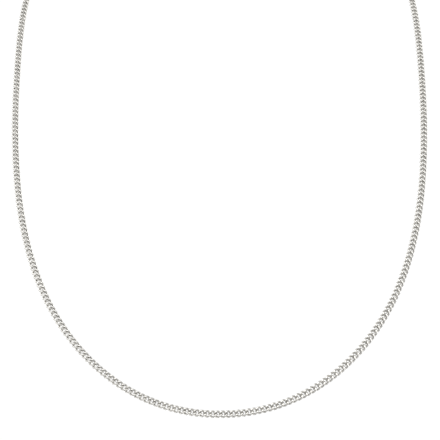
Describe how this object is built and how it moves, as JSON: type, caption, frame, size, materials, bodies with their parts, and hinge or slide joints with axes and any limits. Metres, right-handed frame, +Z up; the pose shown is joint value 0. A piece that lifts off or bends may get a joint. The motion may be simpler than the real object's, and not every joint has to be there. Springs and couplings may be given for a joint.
{
  "type": "curb chain necklace",
  "caption": "Fine silver curb chain, fastened as worn: a loop of twisted flat links that hangs from the nape, closed by a round clasp on two rings.",
  "frame": {"origin": "the place at the middle of the nape where the fastened loop rests on the neck", "axes": "+Z up, -Y the way the wearer faces, +X towards the wearer's left"},
  "size_m": [0.111, 0.1229, 0.1196],
  "materials": {
    "polished_silver": "polished sterling silver, flattened faces bright, slight tarnish between the links",
    "clasp_silver": "polished sterling silver"
  },
  "bodies": {
    "root": {"chain": "polished_silver", "clasp": "clasp_silver", "jump_ring": "clasp_silver", "end_ring": "clasp_silver"}
  },
  "joints": []
}
